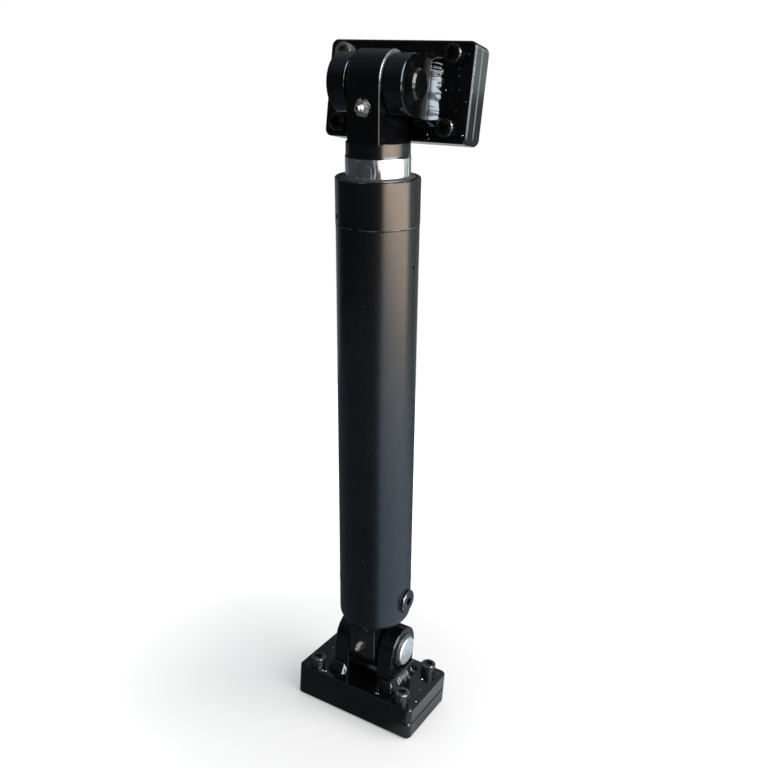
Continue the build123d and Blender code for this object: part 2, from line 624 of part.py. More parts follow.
def plunger():
    """The pieces that slide and turn, in the plunger's frame."""
    up = Pos(0, 0, TOP_PIN_HEIGHT) * Rot(Y=180)
    lower, upper = piston_ring_lows()
    return {
        "lower_guide_ring": piston_guide_ring(lower),
        "upper_guide_ring": piston_guide_ring(upper),
        "plunger": plunger_rod(),
        "piston_head": piston_head(),
        "piston_nut": piston_nut(),
        "plunger_neck": plunger_neck(),
        "neck_weld": neck_weld(),
        "top_knuckle": up * lug(TOP_LUG_REACH, TOP_NIPPLE_OFFSET),
        "top_bush": up * bush(TOP_NIPPLE_OFFSET),
        "top_nipple": up * nipple(TOP_NIPPLE_OFFSET),
    }


def named(prefix, pieces):
    """Puts a bracket's name before the names of its pieces."""
    return {prefix + name: piece for name, piece in pieces.items()}


base = bracket(BASE_BACKING_THICKNESS, BASE_EAR_PLATE_THICKNESS, BASE_SCREW_LENGTH, 1)
top = bracket(TOP_BACKING_THICKNESS, TOP_EAR_PLATE_THICKNESS, TOP_SCREW_LENGTH, -1)
groups = [
    (BASE_FRAME, named("base_", base)),
    (BARREL_FRAME, barrel()),
    (PLUNGER_FRAME, plunger()),
    (TOP_FRAME, named("top_", top)),
]

os.makedirs("parts", exist_ok=True)
for frame, pieces in groups:
    for name, piece in pieces.items():
        export_step(frame * piece, f"parts/{name}.step")
print("stroke", STROKE, "pin to pin, retracted", TOP_PIN_HEIGHT, "top tilt", round(TOP_TILT, 2))
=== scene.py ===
# %% [markdown]
# # A hydraulic cylinder in gloss black
# The real object is a steel plunger cylinder, sprayed black, with a bolted bracket pinned to each end.
# Its shape is already packed as a fixed frame, in metres, so this lesson is about finish and light:
# black paint that is glossy on the brackets and satin on the tube, ground chrome, blackened screws,
# bare turned steel, and weld beads, which are the only pieces whose shape is made again here.

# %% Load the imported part
import bpy
import bmesh
import json
import math
import random
from mathutils import Matrix, Vector, noise


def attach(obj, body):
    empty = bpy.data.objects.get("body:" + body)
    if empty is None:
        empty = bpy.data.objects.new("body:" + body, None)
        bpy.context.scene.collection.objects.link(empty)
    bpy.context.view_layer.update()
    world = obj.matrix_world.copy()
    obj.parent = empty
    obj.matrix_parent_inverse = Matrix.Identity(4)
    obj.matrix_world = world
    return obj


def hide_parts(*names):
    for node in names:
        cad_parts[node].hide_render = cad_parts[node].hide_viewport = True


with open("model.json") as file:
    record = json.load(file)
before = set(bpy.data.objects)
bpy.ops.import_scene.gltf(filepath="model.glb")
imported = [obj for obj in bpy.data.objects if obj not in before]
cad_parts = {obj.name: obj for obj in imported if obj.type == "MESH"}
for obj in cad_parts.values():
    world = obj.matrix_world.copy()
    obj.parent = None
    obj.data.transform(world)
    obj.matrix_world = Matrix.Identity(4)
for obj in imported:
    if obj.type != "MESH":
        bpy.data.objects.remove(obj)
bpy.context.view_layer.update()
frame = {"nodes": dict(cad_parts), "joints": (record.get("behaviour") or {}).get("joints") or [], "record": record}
nodes = frame["nodes"]
joints = {joint["name"]: joint for joint in frame["joints"]}

# %% [markdown]
# ## Where things stand
# The barrel leans, the plunger is turned a little, and the top bracket hangs at its own angle. Marks in a
# finish have to follow the piece and not the room, so each assembly gets a frame of its own. The joints
# already hold the directions that are needed: the slide's axis, the top pin's axis and the outer face
# of the top plate. A frame is three axes and an origin, which Blender keeps as one 4 by 4 matrix.

# %% Frames of the base, the barrel, the plunger and the top bracket
MM = 0.001


def frame_of(origin, x_axis, z_axis):
    """A matrix from an origin and two of its axes."""
    x, z = Vector(x_axis).normalized(), Vector(z_axis).normalized()
    turned = Matrix((x, z.cross(x), z)).transposed().to_4x4()
    return Matrix.Translation(Vector(origin)) @ turned


base_pin = joints["base_hinge"]["pos_m"]
top_pin = joints["top_hinge"]["pos_m"]
barrel_axis = Vector(joints["plunger_slide"]["axis"])
pin_axis = Vector(joints["top_hinge"]["axis"])
top_face = next(m for m in frame["record"]["mounts"] if m["name"] == "top_face")
BASE = frame_of(base_pin, (1, 0, 0), (0, 0, 1))
BARREL = frame_of(base_pin, (1, 0, 0), barrel_axis)
PLUNGER = frame_of(base_pin, pin_axis, barrel_axis)
TOP = frame_of(top_pin, pin_axis, -Vector(top_face["axis"]))
print("pin to pin", round((Vector(top_pin) - Vector(base_pin)).length / MM, 2), "mm")

# %% [markdown]
# ## Small helpers for node trees
# A material could be clicked together in the Shader Editor. In a script the same tree is a list of nodes
# and wires, and most of the text would be wiring. These helpers add a node, fill its inputs with a value
# or a wire, and give back the output, so that a finish below reads like a recipe.

# %% Helpers that add nodes


def add(tree, kind, inputs=None, **settings):
    """Adds a node; each input gets a value, or a wire if it is given an output."""
    made = tree.nodes.new("ShaderNode" + kind)
    for name, value in settings.items():
        setattr(made, name, value)
    for name, value in (inputs or {}).items():
        if isinstance(value, bpy.types.NodeSocket):
            tree.links.new(value, made.inputs[name])
        else:
            made.inputs[name].default_value = value
    return made


def maths(tree, operation, first, second=0.0, third=0.0, clamp=False):
    """One sum: the output of a Math node."""
    values = {0: first, 1: second, 2: third}
    return add(tree, "Math", values, operation=operation, use_clamp=clamp).outputs[0]


def product(tree, first, *others):
    """All the factors multiplied together, for masks that must all agree."""
    for other in others:
        first = maths(tree, "MULTIPLY", first, other)
    return first


def fade(tree, value, start, end, low=0.0, high=1.0):
    """Goes softly from low to high while value goes from start to end."""
    made = add(tree, "MapRange", {0: value, 1: start, 2: end, 3: low, 4: high})
    made.interpolation_type = "SMOOTHSTEP"
    return made.outputs[0]


def blend_value(tree, share, first, second):
    made = add(tree, "Mix", {0: share, 2: first, 3: second}, data_type="FLOAT")
    return made.outputs[0]


def blend_colour(tree, share, first, second):
    made = add(tree, "Mix", {0: share, 6: first, 7: second}, data_type="RGBA")
    return made.outputs[2]


def cloud(tree, place, size, detail=2.0, roughness=0.5):
    """Soft noise whose blotches are about size metres across."""
    settings = {"Vector": place, "Scale": 1 / size, "Detail": detail, "Roughness": roughness}
    return add(tree, "TexNoise", settings).outputs["Fac"]


def parts_of(tree, vector):
    """The x, y and z of a vector."""
    return add(tree, "SeparateXYZ", {0: vector}).outputs


def length_of(tree, across, up):
    """How far a point is from the origin, from two of its coordinates."""
    flat = add(tree, "CombineXYZ", {"X": across, "Y": up}).outputs[0]
    return add(tree, "VectorMath", {0: flat}, operation="LENGTH").outputs["Value"]


def stretched(tree, place, x, y, z):
    """The place with its axes stretched, for marks that run one way."""
    made = add(tree, "VectorMath", {0: place, 1: (x, y, z)}, operation="MULTIPLY")
    return made.outputs["Vector"]


print("helpers ready")

# %% [markdown]
# ## Shared effects as node groups
# Sprayed paint, chipped edges, dust nibs and machining lines turn up on many pieces. Each is a node group
# with named inputs, built once. A material places the group and gives it its own numbers, the way a
# painter uses one gun with different settings. The groups only put out masks and heights. The shader
# itself stays in each material.

# %% A helper that starts a group
GROUP_INPUTS = {"Place": "NodeSocketVector"}


def start_group(name, inputs, outputs):
    """A new group with its sockets; returns its tree and its inputs' outputs by name."""
    tree = bpy.data.node_groups.new(name, "ShaderNodeTree")
    for title, value in inputs.items():
        kind = GROUP_INPUTS.get(title, "NodeSocketFloat")
        socket = tree.interface.new_socket(name=title, in_out="INPUT", socket_type=kind)
        if value is not None:
            socket.default_value = value
    for title in outputs:
        tree.interface.new_socket(name=title, in_out="OUTPUT", socket_type="NodeSocketFloat")
    entry = tree.nodes.new("NodeGroupInput")
    return tree, entry.outputs


def end_group(tree, outputs):
    """Wires a group's results to its output sockets."""
    leave = tree.nodes.new("NodeGroupOutput")
    for title, value in outputs.items():
        tree.links.new(value, leave.inputs[title])
    print("group", tree.name, "with", len(tree.nodes), "nodes")
    return tree


def place_group(tree, group, inputs):
    """Puts a group into a material and returns its outputs."""
    return add(tree, "Group", inputs, node_tree=group).outputs


print("a group's sockets are values, but for", ", ".join(GROUP_INPUTS))

# %% [markdown]
# ### Spray coat
# Sprayed enamel dries with orange peel: a low swell a few millimetres across, with a finer ripple on it.
# The film is also thicker in some places, so gloss and colour drift slowly. One cloud makes each of
# these.

# %% Group: spray coat
tree, given = start_group("Spray coat", {"Place": None, "Peel size": 0.003}, ["Height", "Drift", "Haze"])
inverse = maths(tree, "DIVIDE", 1.0, given["Peel size"])
swell = add(tree, "TexNoise", {"Vector": given["Place"], "Scale": inverse, "Detail": 1.0})
ripple_scale = maths(tree, "MULTIPLY", inverse, 2.7)
ripple = add(tree, "TexNoise", {"Vector": given["Place"], "Scale": ripple_scale, "Detail": 2.0})
height = maths(tree, "MULTIPLY_ADD", ripple.outputs["Fac"], 0.35, swell.outputs["Fac"])
drift = fade(tree, cloud(tree, given["Place"], 0.06, 3.0), 0.35, 0.65)
haze = fade(tree, cloud(tree, given["Place"], 0.012, 4.0, 0.65), 0.35, 0.7)
spray_coat = end_group(tree, {"Height": height, "Drift": drift, "Haze": haze})

# %% [markdown]
# ### Worn edges
# Paint chips first where two faces meet. The Bevel node rounds the shading normal near an edge, so where
# it differs from the true normal there is an edge. A coarse and a fine cloud break that line into chips,
# because real wear is never an even outline.

# %% Group: worn edges
tree, given = start_group("Worn edges", {"Place": None, "Reach": 0.0008, "Amount": 0.5}, ["Mask"])
rounded = add(tree, "Bevel", {"Radius": given["Reach"]}, samples=4).outputs["Normal"]
flat = add(tree, "NewGeometry").outputs["Normal"]
agree = add(tree, "VectorMath", {0: rounded, 1: flat}, operation="DOT_PRODUCT").outputs["Value"]
edge = fade(tree, agree, 0.995, 0.93)
coarse = cloud(tree, given["Place"], 0.018, 3.0, 0.7)
fine = cloud(tree, given["Place"], 0.0022, 3.0, 0.7)
chance = maths(tree, "ADD", maths(tree, "MULTIPLY", coarse, 0.6), maths(tree, "MULTIPLY", fine, 0.4))
limit = maths(tree, "SUBTRACT", 0.78, maths(tree, "MULTIPLY", given["Amount"], 0.45))
chip = maths(tree, "MULTIPLY", maths(tree, "SUBTRACT", chance, limit), 22.0, clamp=True)
worn_edges = end_group(tree, {"Mask": maths(tree, "MULTIPLY", edge, chip)})

# %% [markdown]
# ### Dust nibs
# Grit that settled in the wet paint leaves small pale bumps, and a few lie scattered over every bracket.
# A Voronoi texture gives one random dot per cell, and its cell colour decides which cells get one.

# %% Group: dust nibs
tree, given = start_group("Dust nibs", {"Place": None, "Spacing": 0.008, "Share": 0.2}, ["Mask"])
scale = maths(tree, "DIVIDE", 1.0, given["Spacing"])
cells = add(tree, "TexVoronoi", {"Vector": given["Place"], "Scale": scale})
luck = add(tree, "SeparateColor", {0: cells.outputs["Color"]}).outputs
dot = maths(tree, "LESS_THAN", cells.outputs["Distance"], maths(tree, "MULTIPLY", luck[1], 0.07))
chosen = maths(tree, "LESS_THAN", luck[0], given["Share"])
dust_nibs = end_group(tree, {"Mask": maths(tree, "MULTIPLY", dot, chosen)})

# %% [markdown]
# ### Turned lines
# A lathe leaves fine rings round the axis, on a face as well as on a bar. Noise that is read only along
# the distance from the axis and along the axis itself is the same all the way round, which is what
# a cutting tool makes. The piece's own frame has to have the axis along X.

# %% Group: turned lines
tree, given = start_group("Turned lines", {"Place": None, "Pitch": 0.0004}, ["Lines"])
x, y, z = parts_of(tree, given["Place"])
read_at = add(tree, "CombineXYZ", {"X": x, "Y": length_of(tree, y, z)}).outputs[0]
scale = maths(tree, "DIVIDE", 1.0, given["Pitch"])
lines = add(tree, "TexNoise", {"Vector": read_at, "Scale": scale, "Detail": 3.0, "Roughness": 0.7})
turned_lines = end_group(tree, {"Lines": lines.outputs["Fac"]})

# %% [markdown]
# ## Materials
# Every material starts the same way: a Principled BSDF, the object's own coordinates, and those
# coordinates moved into the frame of the assembly, so that a mark can be put on a piece by its
# millimetres. The Mapping node's Texture type does that move.

# %% Helpers that start a material and give it to pieces


def start_material(name, matrix):
    """A new material; returns it, its tree, its shader and the place in the assembly's frame."""
    material = bpy.data.materials.new(name)
    material.use_nodes = True
    tree = material.node_tree
    tree.nodes.clear()
    shader = add(tree, "BsdfPrincipled")
    output = add(tree, "OutputMaterial")
    tree.links.new(shader.outputs["BSDF"], output.inputs["Surface"])
    seen = add(tree, "TexCoord").outputs["Object"]
    settings = {"Vector": seen, "Location": matrix.to_translation(), "Rotation": matrix.to_euler()}
    place = add(tree, "Mapping", settings, vector_type="TEXTURE").outputs["Vector"]
    return material, tree, shader, place


def relief(tree, shader, height, depth):
    """Wires a height of 0 to 1 as a bump that is depth metres deep."""
    bump = add(tree, "Bump", {"Height": height, "Distance": depth, "Strength": 1.0})
    tree.links.new(bump.outputs["Normal"], shader.inputs["Normal"])


def wire(tree, shader, **inputs):
    """Wires outputs to the shader's inputs; Base_Color stands for Base Color."""
    for name, value in inputs.items():
        tree.links.new(value, shader.inputs[name.replace("_", " ")])


def give(material, *names):
    """Dresses CAD nodes in a material."""
    for name in names:
        mesh = nodes[name].data
        mesh.materials.clear()
        mesh.materials.append(material)
        for face in mesh.polygons:
            face.material_index = 0
    print(material.name, "on", ", ".join(names))


print("helpers for materials ready")

# %% [markdown]
# ### Black enamel
# The paint is one recipe with a few settings: how rough it dries and how far that drifts (haze), how
# strong the orange peel is, how much the edges have chipped, how much grit is in it, and how strongly and
# in what tint it mirrors the room (glare and cast). The colour is nearly black and a little blue, and
# drifts between two shades. Under the chips there is dull grey steel, so a chip is lighter, metallic and
# rougher, and it lies lower than the film. Glare and cast are the same all over a piece, so they are
# typed into the shader itself.

# %% Black enamel, with settings
DEEP_BLACK = (0.0026, 0.0028, 0.0034, 1)
WORN_BLACK = (0.0045, 0.0047, 0.0053, 1)
# Chips show this grey, and so do the painted sheen and highlights added to the chip mask.
BARE_AND_SHEEN_GREY = (0.42, 0.42, 0.41, 1)
NIB_GREY = (0.16, 0.16, 0.15, 1)
BLUE_CAST = (0.7, 0.85, 1.0, 1)
PALE_CAST = (0.88, 0.93, 1.0, 1)
WHITE = (1, 1, 1, 1)
CHIP_ROUGHNESS, CHIP_METALLIC = 0.42, 0.8
FILM_DEPTH = 0.00004


def black_enamel(name, matrix, rough, peel=0.5, chips=0.3, grit=0.1, reach=0.0008, haze=0.15,
                 glare=0.5, cast=WHITE, extra=None):
    """Sprayed black paint; extra may add marks of one piece to the chip mask, both real wear and painted sheen."""
    material, tree, shader, place = start_material(name, matrix)
    coat = place_group(tree, spray_coat, {"Place": place, "Peel size": 0.0035})
    edges = place_group(tree, worn_edges, {"Place": place, "Reach": reach, "Amount": chips})
    nibs = place_group(tree, dust_nibs, {"Place": place, "Share": grit})
    # The chip mask with the extra marks added: real chips, and on some pieces also painted sheen and highlights.
    bare = edges["Mask"] if extra is None else extra(tree, place, edges["Mask"])
    paint = blend_colour(tree, coat["Drift"], DEEP_BLACK, WORN_BLACK)
    paint = blend_colour(tree, nibs["Mask"], paint, NIB_GREY)
    colour = blend_colour(tree, bare, paint, BARE_AND_SHEEN_GREY)
    dried = blend_value(tree, coat["Haze"], rough * (1 - haze), rough * (1 + haze))
    roughness = blend_value(tree, maths(tree, "MAXIMUM", bare, nibs["Mask"]), dried, CHIP_ROUGHNESS)
    surface = maths(tree, "SUBTRACT", maths(tree, "MULTIPLY", coat["Height"], peel), bare)
    surface = maths(tree, "ADD", surface, nibs["Mask"])
    metallic = maths(tree, "MULTIPLY", bare, CHIP_METALLIC)
    wire(tree, shader, Base_Color=colour, Roughness=roughness, Metallic=metallic)
    shader.inputs["Specular IOR Level"].default_value = glare
    shader.inputs["Specular Tint"].default_value = cast
    relief(tree, shader, surface, FILM_DEPTH)
    return material


tube_enamel = black_enamel("tube_enamel", BARREL, 0.27, peel=0.3, chips=0.4, grit=0.03, haze=0.04)
cap_enamel = black_enamel("cap_enamel", BARREL, 0.3, peel=0.4, chips=0.15, grit=0.06, haze=0.04)
head_enamel = black_enamel("head_enamel", BARREL, 0.22, peel=0.3, chips=0.6, grit=0.03, haze=0.04)
give(tube_enamel, "barrel_tube")
give(cap_enamel, "end_cap", "cap_weld")
give(head_enamel, "gland_head")

# %% [markdown]
# ### Bracket plates and ears
# The plates are thick flame-cut steel, painted together with their ears. Paint has chipped along the
# edges, most of all on the right edge of the top plate above its middle, which looks grainy and grey.
# Those chips are real wear, and keeping them to the upper half also paints in the brighter highlight that
# the edge has there. On the top ears a painted sheen lightens the outer faces towards the foot, standing
# in for the weld's reflection spreading up the face. Each is put where it is on the real bracket, by
# adding to the chip mask there.

# %% Wear and a painted highlight on the top plate, a painted sheen on the top ears
PLATE_END = 0.08
EAR_FACE = 0.04


def right_edge_wear_and_highlight(tree, place, mask):
    """More chips on the right vertical edge in the plate's upper half: real wear, and a painted highlight there.
    """
    x, y, z = parts_of(tree, place)
    on_right = fade(tree, x, PLATE_END - 0.0015, PLATE_END - 0.0005)
    in_upper_half = fade(tree, y, -0.006, -0.002)
    near_front = fade(tree, z, -0.0455, -0.0445)
    broken = fade(tree, cloud(tree, place, 0.004, 3.0, 0.7), 0.45, 0.6)
    wear = product(tree, on_right, in_upper_half, near_front, broken, 0.2)
    return maths(tree, "MAXIMUM", mask, wear)


def foot_sheen(tree, place, mask):
    """Painted sheen: lighter, greyer paint on the ears' outer faces, more and more towards the foot."""
    x, y, z = parts_of(tree, place)
    outer = fade(tree, maths(tree, "ABSOLUTE", x), EAR_FACE - 0.0015, EAR_FACE - 0.0005)
    low = fade(tree, z, -0.012, -0.036, 0.0, 0.24)
    uneven = fade(tree, cloud(tree, place, 0.02, 2.0), 0.3, 0.7, 0.75, 1.0)
    return maths(tree, "MAXIMUM", mask, product(tree, outer, low, uneven))


# Where the plate's chips and painted highlight begin, and where the ears' painted sheen begins.
print("wear from x", PLATE_END - 0.0015, "on the plate and", EAR_FACE - 0.0015, "on the ears")

# %% Enamel on the plates, ears and lugs
base_enamel = black_enamel("base_enamel", BASE, 0.12, peel=0.6, chips=0.2, grit=0.22, glare=0.35)
base_ear_enamel = black_enamel("base_ear_enamel", BASE, 0.12, peel=0.6, chips=0.12, grit=0.15, glare=0.28)
top_enamel = black_enamel("top_enamel", TOP, 0.09, peel=0.35, chips=0.1, grit=0.16, glare=0.25,
                          extra=right_edge_wear_and_highlight)
top_ear_enamel = black_enamel("top_ear_enamel", TOP, 0.09, peel=0.1, chips=0.05, grit=0.12, glare=0.4,
                              cast=BLUE_CAST, extra=foot_sheen)
base_lug_enamel = black_enamel("base_lug_enamel", BARREL, 0.17, peel=0.6, chips=0.3, grit=0.15)
give(base_enamel, "base_backing_plate", "base_ear_plate")
give(base_ear_enamel, "base_left_ear", "base_right_ear")
give(top_enamel, "top_backing_plate", "top_ear_plate")
give(top_ear_enamel, "top_left_ear", "top_right_ear")
give(base_lug_enamel, "base_knuckle")

# %% [markdown]
# ### The rubbed patch and the painted sheen on the top lug
# Round the top grease nipple the paint is gone: somebody wiped the fitting clean, and the steel shows as
# a ragged pale patch about as wide as a thumb. It lies on the front face only. The distance from the
# nipple's axis, made ragged with a cloud, says where the paint ends. A hazy grey band round the upper
# rim of the lug's sides is painted sheen, for the light those rims mirror.

# %% Enamel with a rubbed patch and a painted sheen
NIPPLE_HEIGHT = 0.630
TOP_PIN_HEIGHT = 0.650
PATCH_RADIUS = 0.0084
LUG_FRONT = -0.0305


def side_sheen(tree, place, mask):
    """Painted sheen: a hazy grey band round the upper rim of the lug's sides, for the light they mirror."""
    x, y, z = parts_of(tree, place)
    reach = length_of(tree, y, maths(tree, "SUBTRACT", z, TOP_PIN_HEIGHT))
    on_side = fade(tree, maths(tree, "ABSOLUTE", x), 0.0168, 0.0173)
    near_rim = fade(tree, reach, 0.0262, 0.0285)
    above = fade(tree, z, TOP_PIN_HEIGHT - 0.01, TOP_PIN_HEIGHT + 0.02)
    uneven = fade(tree, cloud(tree, place, 0.006, 3.0), 0.3, 0.6, 0.4, 0.75)
    return maths(tree, "MAXIMUM", mask, product(tree, near_rim, on_side, above, uneven))


def rubbed_patch_and_sheen(tree, place, mask):
    """The bare patch round the nipple, and the painted sheen on the sides."""
    x, y, z = parts_of(tree, place)
    distance = length_of(tree, x, maths(tree, "SUBTRACT", z, NIPPLE_HEIGHT))
    wander = maths(tree, "SUBTRACT", cloud(tree, place, 0.005, 4.0, 0.75), 0.5)
    ragged = maths(tree, "MULTIPLY", wander, 0.012)
    inside = fade(tree, maths(tree, "ADD", distance, ragged), PATCH_RADIUS, PATCH_RADIUS - 0.0008)
    left_over = fade(tree, cloud(tree, place, 0.0018, 2.0), 0.38, 0.46)
    on_front = maths(tree, "LESS_THAN", y, LUG_FRONT)
    patch = product(tree, inside, on_front, left_over)
    return maths(tree, "MAXIMUM", side_sheen(tree, place, mask), patch)


top_lug_enamel = black_enamel("top_lug_enamel", PLUNGER, 0.14, peel=0.5, chips=0.1, grit=0.12,
                              glare=0.22, cast=BLUE_CAST, extra=rubbed_patch_and_sheen)
neck_enamel = black_enamel("neck_enamel", PLUNGER, 0.22, peel=0.4, chips=0.2, grit=0.05)
give(top_lug_enamel, "top_knuckle")
give(neck_enamel, "plunger_neck")

# %% [markdown]
# ### Ground chrome
# The plunger is hard-chromed and ground round its axis. Close up, the grinding shows as very fine rings.
# From a metre away it only makes the mirror a little soft. Smears of old oil dull it in streaks that run
# up and down. They are strong only on the short length that shows at rest, because the wiper cleans
# whatever goes in and out of the tube.

# %% Chrome for the plunger
WIPED_BELOW, SMEARED_ABOVE = 0.545, 0.562
material, tree, shader, place = start_material("ground_chrome", PLUNGER)
fine_rings = {"Vector": stretched(tree, place, 30, 30, 4000), "Scale": 1.0, "Detail": 3.0}
rings = add(tree, "TexNoise", fine_rings)
streaks = cloud(tree, stretched(tree, place, 1, 1, 0.12), 0.006, 3.0, 0.6)
smear = fade(tree, streaks, 0.44, 0.6)
speck = fade(tree, cloud(tree, place, 0.0035, 4.0, 0.7), 0.62, 0.75)
x, y, z = parts_of(tree, place)
smeared = maths(tree, "MULTIPLY", smear, fade(tree, z, WIPED_BELOW, SMEARED_ABOVE, 0.18, 0.85))
dull = maths(tree, "MAXIMUM", smeared, maths(tree, "MULTIPLY", speck, 0.6))
wire(
    tree, shader,
    Base_Color=blend_colour(tree, dull, (0.8, 0.81, 0.83, 1), (0.68, 0.69, 0.72, 1)),
    Roughness=blend_value(tree, dull, 0.15, 0.5),
)
shader.inputs["Metallic"].default_value = 1.0
relief(tree, shader, rings.outputs["Fac"], 0.000004)
give(material, "plunger")

# %% [markdown]
# ### Bare turned steel
# The base pin's head was never painted. It shows the rings of the lathe tool, which catch the light
# as a soft bright disc, and a few darker stains. The same finish is on the parts inside the tube, and on
# the bare drops of spatter further down.

# %% Turned steel
STEEL_LIGHT = (0.82, 0.79, 0.75, 1)
STEEL_DARK = (0.44, 0.43, 0.41, 1)


def turned_steel(name, matrix, rough):
    """Bare steel with rings round the X axis of its frame."""
    material, tree, shader, place = start_material(name, matrix)
    turned = place_group(tree, turned_lines, {"Place": place, "Pitch": 0.0005})
    stain = fade(tree, cloud(tree, place, 0.006, 4.0, 0.6), 0.35, 0.6)
    tone = maths(tree, "MULTIPLY", stain, turned["Lines"])
    wire(
        tree, shader,
        Base_Color=blend_colour(tree, tone, STEEL_LIGHT, STEEL_DARK),
        Roughness=blend_value(tree, turned["Lines"], rough * 0.75, rough * 1.3),
    )
    shader.inputs["Metallic"].default_value = 1.0
    relief(tree, shader, turned["Lines"], 0.00002)
    return material


pin_steel = turned_steel("pin_steel", BASE, 0.38)
ACROSS = BARREL @ Matrix.Rotation(math.radians(90), 4, "Y")
inside_steel = turned_steel("inside_steel", ACROSS, 0.3)
give(pin_steel, "base_pin")
give(inside_steel, "piston_head", "piston_nut")

# %% [markdown]
# ### The painted top pin
# The top pin was sprayed together with its bracket, so its end is as black as the ears. The film has worn
# a little on the rim of its chamfer. The washers beside it and the circlip were sprayed with it.

# %% Painted pin, washers and circlip
pin_enamel = black_enamel("pin_enamel", TOP, 0.15, peel=0.4, chips=0.2, grit=0.05, reach=0.0006,
                          glare=0.35)
give(pin_enamel, "top_pin", "top_washers", "top_circlip")

# %% [markdown]
# ### Blackened screws
# Socket screws are blackened by heat and oil, not painted. The skin is dark blue-grey and satin, it
# rubs off on the rims, and the heads are knurled all round. A sine wave on the angle round each screw
# would need every screw's own centre, so the knurl here is a fine upright grain in the bracket's frame,
# which at this size looks the same. One screw, at the upper left of the top bracket, is painted grey and
# rough all over its head: a painted sheen for the light that head catches.

# %% Blackened steel
SKIN = (0.055, 0.058, 0.065, 1)
SKIN_WORN = (0.11, 0.112, 0.118, 1)
SKIN_METALLIC = 0.85
RIM_STEEL = (0.5, 0.5, 0.5, 1)
# The grey coat of one screw is a painted sheen; the next line gives its roughness and metal.
SHEEN_GREY = (0.065, 0.06, 0.06, 1)
SHEEN_ROUGHNESS, SHEEN_METALLIC = 0.6, 0.1


def blackened(name, matrix, rough, rubbed, tone=1.0, grey_sheen_at=None):
    """Blackened steel: tone darkens its skin, and the last argument gives a mask where a painted grey sheen lies
    on it.
    """
    material, tree, shader, place = start_material(name, matrix)
    edges = place_group(tree, worn_edges, {"Place": place, "Reach": 0.0007, "Amount": rubbed})
    mottle = fade(tree, cloud(tree, place, 0.004, 4.0, 0.65), 0.35, 0.7)
    grain = add(tree, "TexNoise", {"Vector": stretched(tree, place, 1, 1, 0.05), "Scale": 2200.0})
    dark, light = ([tone * part for part in shade[:3]] + [1] for shade in (SKIN, SKIN_WORN))
    skin = blend_colour(tree, mottle, dark, light)
    roughness = blend_value(tree, mottle, rough * 0.85, rough * 1.25)
    if grey_sheen_at is None:
        shader.inputs["Metallic"].default_value = SKIN_METALLIC
    else:
        not_rubbed = maths(tree, "SUBTRACT", 1.0, edges["Mask"])
        grey_sheen = maths(tree, "MULTIPLY", grey_sheen_at(tree, place), not_rubbed)
        skin = blend_colour(tree, grey_sheen, skin, SHEEN_GREY)
        roughness = blend_value(tree, grey_sheen, roughness, SHEEN_ROUGHNESS)
        wire(tree, shader, Metallic=blend_value(tree, grey_sheen, SKIN_METALLIC, SHEEN_METALLIC))
    colour = blend_colour(tree, edges["Mask"], skin, RIM_STEEL)
    wire(tree, shader, Base_Color=colour, Roughness=roughness)
    relief(tree, shader, grain.outputs["Fac"], 0.00003)
    return material


def grey_sheen_corner(tree, place):
    """Painted sheen: the upper left screw of the top bracket is painted grey, where its head catches the light."""
    x, y, z = parts_of(tree, place)
    on_left = maths(tree, "LESS_THAN", x, 0.0)
    upper = maths(tree, "GREATER_THAN", y, 0.0)
    return maths(tree, "MULTIPLY", on_left, upper)


base_screw_steel = blackened("base_screw_steel", BASE, 0.28, 0.65, tone=0.95)
top_screw_steel = blackened("top_screw_steel", TOP, 0.22, 0.55, tone=0.3, grey_sheen_at=grey_sheen_corner)
plug_steel = blackened("plug_steel", BARREL, 0.24, 0.75, tone=0.4)
give(base_screw_steel, "base_screws", "base_washers", "base_circlip")
give(top_screw_steel, "top_screws")
give(plug_steel, "port_plug", "bleed_screw")

# %% [markdown]
# ### Plated nipples
# Grease nipples are zinc-plated and shine a little yellow. The top one is clean. The base one is black,
# with a small pale comma of zinc on the upper left side of its tip.

# %% Grease nipples
ZINC, ZINC_GRIMY = (0.66, 0.63, 0.56, 1), (0.34, 0.32, 0.28, 1)
BASE_NIPPLE_HEIGHT = 0.011


def plated(name, matrix, wiped, metal=1.0):
    """Zinc plate under paint; wiped gives the mask where it shows. Dull plate is less of a metal."""
    material, tree, shader, place = start_material(name, matrix)
    bare = wiped(tree, place)
    grime = fade(tree, cloud(tree, place, 0.0015, 3.0), 0.4, 0.65)
    zinc = blend_colour(tree, grime, ZINC, ZINC_GRIMY)
    wire(
        tree, shader,
        Base_Color=blend_colour(tree, bare, DEEP_BLACK, zinc),
        Metallic=maths(tree, "MULTIPLY", bare, metal),
        Roughness=blend_value(tree, grime, 0.3, 0.5),
    )
    relief(tree, shader, grime, 0.00003)
    return material


def all_but_specks(tree, place):
    """Clean plate with a few specks of paint left on it."""
    return fade(tree, cloud(tree, place, 0.0018, 2.0), 0.3, 0.34)


def comma(tree, place):
    """The upper left side of the base nipple's tip, with a soft ragged border."""
    x, y, z = parts_of(tree, place)
    up = maths(tree, "MULTIPLY", maths(tree, "SUBTRACT", z, BASE_NIPPLE_HEIGHT), 0.5)
    side = maths(tree, "SUBTRACT", up, maths(tree, "MULTIPLY", x, 0.8))
    wander = maths(tree, "SUBTRACT", cloud(tree, place, 0.0028), 0.5)
    ragged = maths(tree, "MULTIPLY", wander, 0.0065)
    return fade(tree, maths(tree, "ADD", side, ragged), -0.0004, 0.0004)


give(plated("clean_zinc", PLUNGER, all_but_specks), "top_nipple")
give(plated("black_zinc_with_comma", BARREL, comma, 0.3), "base_nipple")

# %% [markdown]
# ### Seals, guides and bushes
# These sit inside and only show in a section or through a gap, so they get short recipes: nitrile rubber
# with a dull moulded skin, resin-bonded fabric for the guide strips, and bronze for the bushes.

# %% Rubber, guide strip and bronze


